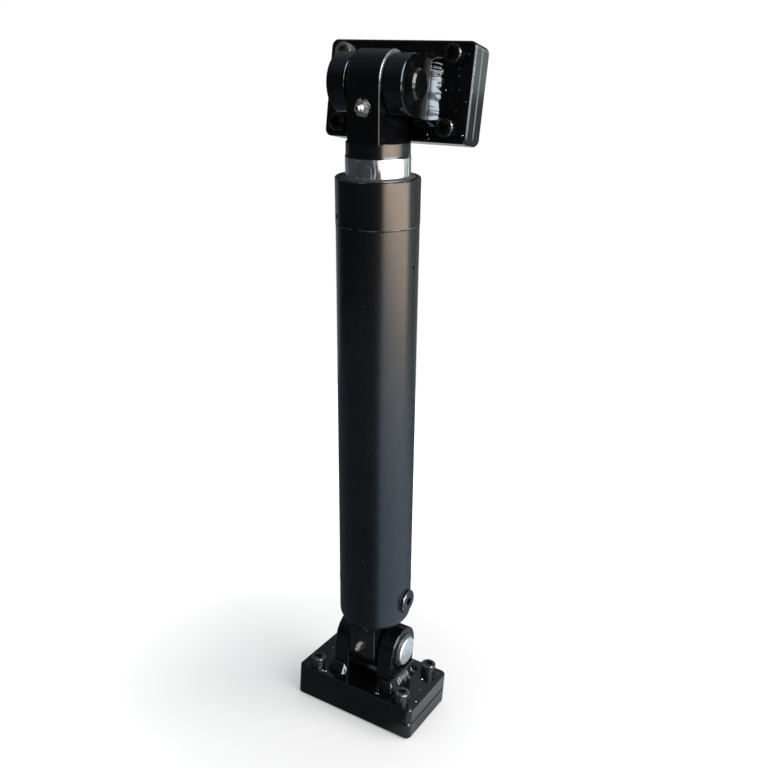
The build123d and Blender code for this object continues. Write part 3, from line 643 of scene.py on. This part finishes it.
def soft_or_bronze(name, first, second, rough, size, metallic=0.0):
    """Two shades in blotches of the given size, with a skin that follows them."""
    material, tree, shader, place = start_material(name, BARREL)
    spots = fade(tree, cloud(tree, place, size, 4.0, 0.65), 0.35, 0.65)
    wire(
        tree, shader,
        Base_Color=blend_colour(tree, spots, first, second),
        Roughness=blend_value(tree, spots, rough * 0.85, rough * 1.15),
    )
    shader.inputs["Metallic"].default_value = metallic
    relief(tree, shader, spots, 0.00003)
    return material


rubber = soft_or_bronze("nitrile_rubber", (0.012, 0.012, 0.012, 1), (0.03, 0.03, 0.029, 1), 0.6, 0.002)
strip = soft_or_bronze("guide_strip", (0.42, 0.34, 0.22, 1), (0.55, 0.46, 0.32, 1), 0.65, 0.0015)
bronze = soft_or_bronze("oiled_bronze", (0.55, 0.36, 0.16, 1), (0.68, 0.48, 0.24, 1), 0.35, 0.004, 1.0)
give(rubber, "port_seal", "gland_o_ring", "rod_seal", "rod_wiper")
give(strip, "gland_guide_ring", "lower_guide_ring", "upper_guide_ring")
give(bronze, "base_bush", "top_bush")

# %% [markdown]
# ## Weld beads
# A hand-laid bead is a row of frozen puddles. Its ripples are crescents, its width wanders, and a few
# drops of spatter lie beside it. The CAD solids only hold the space the beads take up, as flat-sided
# wedges. A curve with a bevel would give an even pipe, so each bead is a grid instead: stations along
# the foot of the ear, and across each station a hollow arc from the plate up to the ear, pushed in and
# out by the ripples. The grid is closed at its back and ends. All lengths here are in millimetres.

# %% The ripples of a bead
ACROSS_STEPS = 14
BOW = 2.6


def beat(along, pitch, seed):
    """How many puddles have been laid up to here; the pace wanders a little."""
    return along / pitch + 0.5 * noise.noise(Vector((along * 0.09, seed, 0)))


def ripple_depth(along, across, pitch, seed):
    """How far the bead stands out, in mm: shallow crescents on wider, uneven puddles."""
    bowed = along - BOW * (1 - (2 * across - 1) ** 2)
    phase = beat(bowed, pitch, seed) % 1.0
    crescent = 0.5 - 0.5 * math.cos(2 * math.pi * phase)
    strong = 0.5 + noise.noise(Vector((along * 0.07, 0.3, seed + 31)))
    puddle = noise.noise(Vector((along * 0.12, across * 1.2, seed + 7)))
    grain = noise.noise(Vector((along * 0.5, across * 3, seed + 13)))
    return 0.5 * strong * crescent + 0.8 * puddle + 0.1 * grain


print("ripples bow", BOW, "mm back at the middle of a bead")

# %% The grid of a bead
END_TAPER = 6.0


def arc_point(across, width, height, hollow, lobe):
    """How far out and how far up the bead's skin is; lobe makes its toe on the plate ragged."""
    turn = across * math.pi / 2
    ragged = lobe * math.cos(turn) ** 16
    return width * (math.cos(turn) ** hollow + ragged), height * math.sin(turn) ** hollow


def bead_grid(mesh, stations, leg, rise, pitch, seed, fit=None, hollow=1.6, lively=None):
    """Adds one bead. Each station is its place, its outward and its up direction and its length so far.
    A hollow of 1 is a full round, 2 is flat and more is concave. lively(along) deepens the ripples."""
    rows = []
    total = stations[-1][3]
    for place, outward, up, along in stations:
        taper = min(1.0, (along + 0.6) / END_TAPER, (total - along + 0.6) / END_TAPER) ** 0.5
        lobe = 0.5 * noise.noise(Vector((along * 0.14, seed, 3)))
        lobe = lobe + 0.2 * noise.noise(Vector((along * 0.35, seed, 4)))
        width = leg * taper
        height = rise * taper * (1 + 0.12 * noise.noise(Vector((along * 0.11, seed, 5))))
        depth = 1.0 if lively is None else lively(along)
        proud = (outward * height + up * width).normalized()
        row = [place - outward * 0.4 - up * 0.2]
        for step in range(ACROSS_STEPS + 1):
            across = step / ACROSS_STEPS
            out_by, up_by = arc_point(across, width, height, hollow, lobe)
            swell = math.sin(across * math.pi) ** 0.7 * taper
            point = outward * out_by + up * up_by
            point = point + proud * (swell * depth * ripple_depth(along, across, pitch, seed))
            if step == 0:
                point = point - up * 0.15
            if step == ACROSS_STEPS:
                point = point - outward * 0.15
            point = place + point
            row.append(fit(point) if fit else point)
        rows.append([mesh.verts.new(point) for point in row])
    for first, second in zip(rows, rows[1:]):
        count = len(first)
        for k in range(count):
            n = (k + 1) % count
            mesh.faces.new((first[k], second[k], second[n], first[n]))
    mesh.faces.new(rows[0])
    mesh.faces.new(list(reversed(rows[-1])))


print("a bead has", ACROSS_STEPS + 2, "points at each station")

# %% [markdown]
# The ears' beads run along three sides of the foot: the outer face and both ends. The side towards the
# lug is free, because the lug swings there. The path turns round each corner on a small arc, or the
# ripples would bunch up.

# %% The path round an ear's foot
STEP = 0.5
CORNER_STEPS = 12


def walk(points):
    """Turns a list of (place, outward) into stations with their length so far."""
    up = Vector((0, 0, 1))
    along, stations, last = 0.0, [], points[0][0]
    for place, outward in points:
        along += max((place - last).length, 0.25 if stations else 0.0)
        stations.append((place, outward, up, along))
        last = place
    return stations


def line(start, end, outward):
    """Places along a straight stretch."""
    count = max(2, int((end - start).length / STEP))
    return [(start.lerp(end, k / count), outward) for k in range(count + 1)]


def corner(place, first, second):
    """The same place while the outward direction turns."""
    shares = (k / CORNER_STEPS for k in range(1, CORNER_STEPS))
    turned = [first.lerp(second, share).normalized() for share in shares]
    return [(place, direction) for direction in turned]


def ear_path(side, inside, outside, half, floor):
    """From the front inner corner, round the outer face, to the back inner corner."""
    out, front, back = Vector((side, 0, 0)), Vector((0, -1, 0)), Vector((0, 1, 0))
    points = line(Vector((side * inside, -half, floor)), Vector((side * outside, -half, floor)), front)
    points += corner(Vector((side * outside, -half, floor)), front, out)
    points += line(Vector((side * outside, -half, floor)), Vector((side * outside, half, floor)), out)
    points += corner(Vector((side * outside, half, floor)), out, back)
    points += line(Vector((side * outside, half, floor)), Vector((side * inside, half, floor)), back)
    return walk(points)


print("stations round one ear:", len(ear_path(1, 20, 40, 28, 0)))

# %% [markdown]
# Spatter is drops of weld metal that froze where they landed. Each is a small ball sunk into the plate,
# near the bead and never under a screw head. Most were painted over, and every third one is bare.

# %% Spatter, and making a bead into a piece


def spatter(mesh, dice, count, x_range, y_range, floor, keep_clear):
    """Drops on the plate inside the ranges, away from the circles in keep_clear."""
    made = 0
    while made < count:
        x, y, radius = dice.uniform(*x_range), dice.uniform(*y_range), 0.3 + 0.9 * dice.random() ** 2
        if any(math.hypot(x - cx, y - cy) < clear + radius for cx, cy, clear in keep_clear):
            continue
        flat = Matrix.Diagonal((dice.uniform(0.8, 1.2), 1, 0.7, 1))
        spot = Matrix.Translation((x, y, floor + radius * 0.25)) @ flat
        ball = bmesh.ops.create_icosphere(mesh, subdivisions=2, radius=radius, matrix=spot)
        for face in {face for vertex in ball["verts"] for face in vertex.link_faces}:
            face.material_index = int(made % 3 == 0)
        made += 1


def make_piece(name, mesh, matrix, body, node, *materials):
    """Turns a bmesh in millimetres of one frame into a piece that stands for a CAD node."""
    bmesh.ops.recalc_face_normals(mesh, faces=mesh.faces)
    data = bpy.data.meshes.new(name)
    mesh.to_mesh(data)
    mesh.free()
    data.transform(matrix @ Matrix.Scale(MM, 4))
    data.polygons.foreach_set("use_smooth", [True] * len(data.polygons))
    for material in materials:
        data.materials.append(material)
    piece = bpy.data.objects.new(name, data)
    bpy.context.scene.collection.objects.link(piece)
    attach(piece, body)
    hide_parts(node)
    print(name, "has", len(data.polygons), "faces and stands for", node)


print("spatter stays clear of the screw heads")

# %% [markdown]
# Paint runs thick over a weld and dries glassy, so the beads are the glossiest black of all. The base
# beads ripple from end to end. The top ones run smooth and hollow along the outer face, where they mirror
# the window as one bright strip, and only ripple at its upper end.

# %% The four ear beads
PLATE_TOP = -42.55
EAR_INSIDE, EAR_OUTSIDE, EAR_HALF = 20.0, 40.0, 28.0
EAR_LEG, EAR_RISE, EAR_PITCH = 7.6, 12.0, 3.6
SCREWS = [(x, y, 9.8) for x in (-60, 60) for y in (-34, 34)]
SEEDS = {"base_left": 11, "base_right": 24, "top_left": 37, "top_right": 52}
base_bead_enamel = black_enamel("base_bead_enamel", BASE, 0.08, peel=0.4, chips=0.0, grit=0.04)
top_bead_enamel = black_enamel("top_bead_enamel", TOP, 0.08, peel=0.4, chips=0.0, grit=0.04,
                               cast=PALE_CAST)
bare_drops = turned_steel("bare_drops", BASE, 0.45)


def rippled(along):
    """Deep ripples all the way."""
    return 1.5


def smooth_then_rippled(along):
    """Smooth along the outer face, and rippled from its upper end on."""
    return 0.04 + 0.75 * min(1.0, max(0.0, (along - 62) / 8))


STYLES = {
    "base": (BASE, base_bead_enamel, 1.6, rippled),
    "top": (TOP, top_bead_enamel, 2.3, smooth_then_rippled),
}
for where, (matrix, enamel, hollow, lively) in STYLES.items():
    for word, side in (("left", -1), ("right", 1)):
        seed = SEEDS[f"{where}_{word}"]
        dice = random.Random(seed)
        mesh = bmesh.new()
        path = ear_path(side, EAR_INSIDE + 0.6, EAR_OUTSIDE, EAR_HALF, PLATE_TOP)
        bead_grid(mesh, path, EAR_LEG, EAR_RISE, EAR_PITCH, seed, hollow=hollow, lively=lively)
        beside, before = sorted((side * 49, side * 76)), sorted((side * 20, side * 50))
        spatter(mesh, dice, 12, beside, (-44, 44), PLATE_TOP, SCREWS)
        spatter(mesh, dice, 8, before, (-45, -36), PLATE_TOP, SCREWS)
        name = f"{where}_{word}_ear_bead"
        make_piece(name, mesh, matrix, f"{where}_bracket", f"{where}_{word}_ear_weld", enamel, bare_drops)

# %% [markdown]
# ### The beads on the lugs
# Under the end cap a bead runs right round the lug, and its upper toe follows the rounded edge of the
# cap. On the neck two short beads run beside the lug. They use the same grid with other paths.

# %% Bead between base lug and end cap
CAP_BOTTOM, CAP_FLAT, CAP_ROUND, CAP_REACH = 40.0, 30.5, 12.0, 36.8
LUG_HALF_X, LUG_HALF_Y = 17.5, 31.05


def onto_cap(point):
    """Keeps the bead under the cap: pulls it in at the corners and lifts its toe onto the round."""
    reach = math.hypot(point.x, point.y)
    pull = min(1.0, CAP_REACH / reach)
    x, y, reach = point.x * pull, point.y * pull, reach * pull
    over = max(0.0, reach - CAP_FLAT)
    lift = CAP_ROUND - math.sqrt(CAP_ROUND**2 - over**2)
    beyond = max(0.0, max(abs(x) - LUG_HALF_X, abs(y) - LUG_HALF_Y))
    return Vector((x, y, point.z + lift * min(1.0, beyond / 4)))


def round_lug(half_x, half_y, level):
    """A closed walk round the lug, with up pointing down the lug's face."""
    sides = [(1, 0), (0, 1), (-1, 0), (0, -1)]
    points = []
    for k, (a, b) in enumerate(sides):
        outward = Vector((a, b, 0))
        tangent = Vector((-b, a, 0))
        centre = Vector((a * half_x, b * half_y, level))
        half = half_y if a else half_x
        points += line(centre - tangent * half, centre + tangent * half, outward)
        following = Vector((*sides[(k + 1) % 4], 0))
        points += corner(centre + tangent * half, outward, following)
    stations = walk(points)
    return [(place, outward, Vector((0, 0, -1)), along) for place, outward, up, along in stations]


mesh = bmesh.new()
bead_grid(mesh, round_lug(LUG_HALF_X, LUG_HALF_Y, CAP_BOTTOM), 4.6, 5.2, 4.4, 71, fit=onto_cap)
lug_bead_enamel = black_enamel("lug_bead_enamel", BARREL, 0.1, peel=0.5, chips=0.0, grit=0.08)
make_piece("base_lug_bead", mesh, BARREL, "barrel", "base_knuckle_weld", lug_bead_enamel)

# %% Beads on the neck
NECK_TOP, NECK_RADIUS, NECK_LEG, NECK_RISE = 597.0, 31.9, 4.2, 3.4
mesh = bmesh.new()
for side in (-1, 1):
    half = math.sqrt(NECK_RADIUS**2 - (LUG_HALF_X + NECK_LEG + 1) ** 2)
    outward = Vector((side, 0, 0))
    start, end = (Vector((side * LUG_HALF_X, y, NECK_TOP)) for y in (-half, half))
    bead_grid(mesh, walk(line(start, end, outward)), NECK_LEG, NECK_RISE, 3.6, 80 + side)
neck_bead_enamel = black_enamel("neck_bead_enamel", PLUNGER, 0.12, peel=0.5, chips=0.0, grit=0.08)
make_piece("neck_bead", mesh, PLUNGER, "plunger", "neck_weld", neck_bead_enamel)

# %% [markdown]
# ## Floor
# The cylinder was photographed on a white surface that runs out of the picture. Here that is a pale disc.
# Its own colour does most of the work, and a little extra for the camera alone lifts it to plain white,
# so that the soft shadow beside the base stays. The disc can't be seen from below, so the underside of
# the base can be looked at too.

# %% The floor's disc
FLOOR_RADIUS = 1.35
floor_mesh = bmesh.new()
bmesh.ops.create_circle(floor_mesh, cap_ends=True, segments=96, radius=FLOOR_RADIUS)
floor_data = bpy.data.meshes.new("studio_floor")
floor_mesh.to_mesh(floor_data)
floor_mesh.free()
floor = bpy.data.objects.new("studio_floor", floor_data)
bpy.context.scene.collection.objects.link(floor)
floor.location = (0, 0, -0.0003)
print("floor disc", 2 * FLOOR_RADIUS, "m across")

# %% [markdown]
# Gloss paint mirrors its surroundings, and the floor that it mirrors is pale on the right and dark in
# front, as if black cloth lay there to keep the paint black. Light Path tells the material whether
# a mirror ray asks for it, and that ray gets a floor of its own, by direction and by distance.

# %% Pale floor
PAPER, PAPER_WORN = (0.83, 0.83, 0.83, 1), (0.85, 0.85, 0.85, 1)
NEAR_TINT, FAR_TINT = (0.8, 0.84, 0.88, 1), (0.61, 0.79, 1.0, 1)
DARK_LEVEL, PALE_LEVEL = 0.14, 1.26


def azimuth_of(tree, x, y):
    """Degrees from the front, -Y, towards the right, +X."""
    angle = maths(tree, "ARCTAN2", x, maths(tree, "MULTIPLY", y, -1.0))
    return maths(tree, "DEGREES", angle)


def between(tree, value, rise_from, rise_to, fall_from, fall_to):
    """1 between two soft limits, 0 outside them."""
    rise = fade(tree, value, rise_from, rise_to)
    fall = fade(tree, value, fall_from, fall_to, 1.0, 0.0)
    return maths(tree, "MULTIPLY", rise, fall)


material = bpy.data.materials.new("pale_floor")
material.use_nodes = True
tree = material.node_tree
tree.nodes.clear()
light_path = add(tree, "LightPath").outputs
place = add(tree, "TexCoord").outputs["Object"]
paper = blend_colour(tree, cloud(tree, place, 0.02, 3.0), PAPER, PAPER_WORN)
lit = add(tree, "BsdfDiffuse", {"Color": paper}).outputs[0]
x, y, z = parts_of(tree, place)
azimuth = azimuth_of(tree, x, y)
away = length_of(tree, x, y)
bright = maths(tree, "MULTIPLY", light_path["Is Camera Ray"], fade(tree, away, 0.12, 0.6, 0.18, 0.65))
lift = add(tree, "Emission", {"Strength": bright}).outputs[0]
seen = add(tree, "AddShader", {0: lit, 1: lift}).outputs[0]
pale_side = product(
    tree,
    between(tree, azimuth, 33, 48, 95, 185),
    fade(tree, away, 0.05, 0.13),
    fade(tree, away, 0.35, 0.75, 1.0, 1.3),
)
mirrored = maths(tree, "MULTIPLY_ADD", pale_side, PALE_LEVEL, DARK_LEVEL)
tint = blend_colour(tree, fade(tree, away, 0.1, 0.22), NEAR_TINT, FAR_TINT)
in_gloss = add(tree, "Emission", {"Color": tint, "Strength": mirrored}).outputs[0]
upper = add(tree, "MixShader", {0: light_path["Is Glossy Ray"], 1: seen, 2: in_gloss}).outputs[0]
clear = add(tree, "BsdfTransparent").outputs[0]
backfacing = add(tree, "NewGeometry").outputs["Backfacing"]
both = add(tree, "MixShader", {0: backfacing, 1: upper, 2: clear}).outputs[0]
add(tree, "OutputMaterial", {"Surface": both})
material.cycles.emission_sampling = "NONE"
floor_data.materials.append(material)
print("floor material with", len(tree.nodes), "nodes")

# %% [markdown]
# ## Studio
# Black gloss paint has almost no colour of its own. What it shows is the room. The world here has three
# readings. The camera sees plain white. Matt surfaces get an even, plain level of light. Gloss and metal
# see a room. A picture of a room would do the same, but a few soft-edged ranges of azimuth and elevation
# are easier to move about. Azimuth 0 is the front, and 90 is the right.

# %% Directions in the world
world = bpy.data.worlds.new("studio")
bpy.context.scene.world = world
world.use_nodes = True
tree = world.node_tree
tree.nodes.clear()
x, y, z = parts_of(tree, add(tree, "TexCoord").outputs["Generated"])
azimuth = azimuth_of(tree, x, y)
elevation = maths(tree, "DEGREES", maths(tree, "ARCSINE", z))
WARM, PALE = (1.0, 0.75, 0.54), (1.0, 0.86, 0.75)
COOL, SIDE = (0.86, 0.93, 1.0), (0.82, 1.0, 0.95)


def glow(tree, mask, colour, strength):
    """A coloured patch of the room."""
    power = maths(tree, "MULTIPLY", mask, strength)
    return add(tree, "VectorMath", {0: power, 1: colour}, operation="MULTIPLY").outputs["Vector"]


walls = maths(
    tree, "ADD",
    fade(tree, azimuth, -70, 30, 0.035, 0.065),
    maths(tree, "MULTIPLY", fade(tree, elevation, 8, 60), 0.25),
)
patches = [glow(tree, walls, COOL, 1.0)]
print("directions ready, walls placed")

# %% [markdown]
# The window on the right makes the long band down the tube. It is warm low down, with a pale stripe at
# the horizon, a dim cool strip below, and cool steps above that grow bright higher up. The warm strip is
# what the gland and the upper tube mirror, and the cool strip is what the lower tube mirrors.

# %% The window
width = between(tree, azimuth, 42, 53, 113, 131)
warm = between(tree, elevation, -17.5, -11.5, -9.5, -6.5)
warm = product(tree, width, warm, fade(tree, azimuth, 75, 118, 1.0, 0.7))
pale = product(tree, width, between(tree, elevation, -9.5, -6.5, -6, -3.5))
below = between(tree, elevation, -26, -19, -15, -11)
below = product(tree, width, below, fade(tree, azimuth, 85, 118, 1.0, 0.35))
steps = 0.0
for start, end, level in ((-6, -3.5, 2.5), (2.4, 3.6, 1.5), (5, 7, 12.0)):
    steps = maths(tree, "ADD", steps, fade(tree, elevation, start, end, 0.0, level))
top_end = fade(tree, elevation, 42, 55, 1.0, 0.0)
cool = product(tree, between(tree, azimuth, 44, 54, 96, 110), steps, top_end)
patches += [
    glow(tree, warm, WARM, 10.9),
    glow(tree, pale, PALE, 12.0),
    glow(tree, below, COOL, 1.6),
    glow(tree, cool, COOL, 1.0),
]
print("the window is in", len(patches) - 1, "patches")

# %% [markdown]
# The rest of the room is dim. A greenish wall beyond the window shows in the plates' right sides, and is
# brighter just above the horizon. A soft patch at the back left, a low backdrop and a low wall on the
# left draw the thin light lines down the left edges.

# %% The other walls
low_side = between(tree, azimuth, 100, 120, 142, 160)
far_side = between(tree, azimuth, 155, 160, 180, 190)
over_edge = between(tree, elevation, 2.2, 3.2, 25, 50)
back_left = product(
    tree,
    between(tree, x, -0.45, -0.40, -0.33, -0.27),
    fade(tree, y, 0.4, 0.55),
    between(tree, elevation, 15, 25, 55, 65),
)
straight_back = maths(tree, "MULTIPLY_ADD", y, 0.878, maths(tree, "MULTIPLY", x, -0.48))
backdrop = between(tree, elevation, -35, -25, -10, -5)
backdrop = product(tree, fade(tree, straight_back, 0.84, 0.93), backdrop)
left_wall = between(tree, azimuth, -165, -150, -112, -92)
left_wall = product(tree, left_wall, between(tree, elevation, -40, -30, -6, -2))
patches += [
    glow(tree, low_side, SIDE, 0.6),
    glow(tree, far_side, SIDE, 0.25),
    glow(tree, maths(tree, "MULTIPLY", far_side, over_edge), SIDE, 0.85),
    glow(tree, back_left, COOL, 0.4),
    glow(tree, backdrop, COOL, 0.45),
    glow(tree, left_wall, COOL, 0.32),
]
print("the room has", len(patches), "patches")

# %% [markdown]
# All patches are added up. Light Path then hands each ray its own reading of the world.

# %% World
MATT_LIGHT, MATT_LEVEL = (0.96, 0.98, 1.0, 1), 0.62
room = patches[0]
for patch in patches[1:]:
    room = add(tree, "VectorMath", {0: room, 1: patch}, operation="ADD").outputs["Vector"]
light_path = add(tree, "LightPath").outputs
even = add(tree, "Background", {"Color": MATT_LIGHT, "Strength": MATT_LEVEL}).outputs[0]
white = add(tree, "Background", {"Color": WHITE, "Strength": 1.0}).outputs[0]
in_gloss = add(tree, "Background", {"Color": room, "Strength": 1.0}).outputs[0]
straight = maths(tree, "MAXIMUM", light_path["Is Camera Ray"], light_path["Is Transmission Ray"])
first = add(tree, "MixShader", {0: straight, 1: even, 2: white}).outputs[0]
second = add(tree, "MixShader", {0: light_path["Is Glossy Ray"], 1: first, 2: in_gloss}).outputs[0]
add(tree, "OutputWorld", {"Surface": second})
world.cycles.sampling_method = "NONE"
print("world with", len(tree.nodes), "nodes")

# %% [markdown]
# One large soft lamp stands high on the right. It lights the matt side of things and casts the soft
# shadow to the left of the base. Gloss doesn't see it, because the window already stands there.

# %% Key lamp
LAMP_PLACE, LAMP_TARGET = Vector((1.15, 0.15, 1.25)), Vector((0, 0, 0.2))
lamp_data = bpy.data.lights.new("soft_key", "AREA")
lamp_data.shape = "RECTANGLE"
lamp_data.size, lamp_data.size_y = 1.5, 1.1
lamp_data.energy = 17.0
lamp_data.color = (1.0, 0.98, 0.95)
lamp = bpy.data.objects.new("soft_key", lamp_data)
bpy.context.scene.collection.objects.link(lamp)
lamp.location = LAMP_PLACE
lamp.rotation_euler = (LAMP_TARGET - LAMP_PLACE).to_track_quat("-Z", "Y").to_euler()
lamp.visible_glossy = False
print("key lamp", round((LAMP_TARGET - LAMP_PLACE).length, 2), "m from what it lights")

# %% [markdown]
# ## Camera
# The photograph was taken from the right of the base pin's front, a little above the barrel's top and
# looking down. The lens and the three angles were found by matching the part's edges to the photograph.

# %% Camera
FOCAL_PIXELS, PICTURE_PIXELS = 844.0, 768
CAMERA_PLACE = (0.4374, -0.8006, 0.6883)
YAW, PITCH, ROLL = (math.radians(a) for a in (29.33, 16.83, 3.97))
level = Vector((-math.sin(YAW), math.cos(YAW), 0))
right = Vector((math.cos(YAW), math.sin(YAW), 0))
forward = level * math.cos(PITCH) - Vector((0, 0, math.sin(PITCH)))
upward = right.cross(forward)
right, upward = (
    right * math.cos(ROLL) + upward * math.sin(ROLL),
    upward * math.cos(ROLL) - right * math.sin(ROLL),
)
camera_data = bpy.data.cameras.new("photo_camera")
camera_data.sensor_width = 36.0
camera_data.lens = FOCAL_PIXELS / PICTURE_PIXELS * camera_data.sensor_width
camera_data.clip_start = 0.01
camera = bpy.data.objects.new("photo_camera", camera_data)
bpy.context.scene.collection.objects.link(camera)
turned = Matrix((right, upward, -forward)).transposed().to_4x4()
camera.matrix_world = Matrix.Translation(CAMERA_PLACE) @ turned
bpy.context.scene.camera = camera
bpy.context.scene.view_settings.view_transform = "Standard"
print("lens", round(camera_data.lens, 2), "mm")
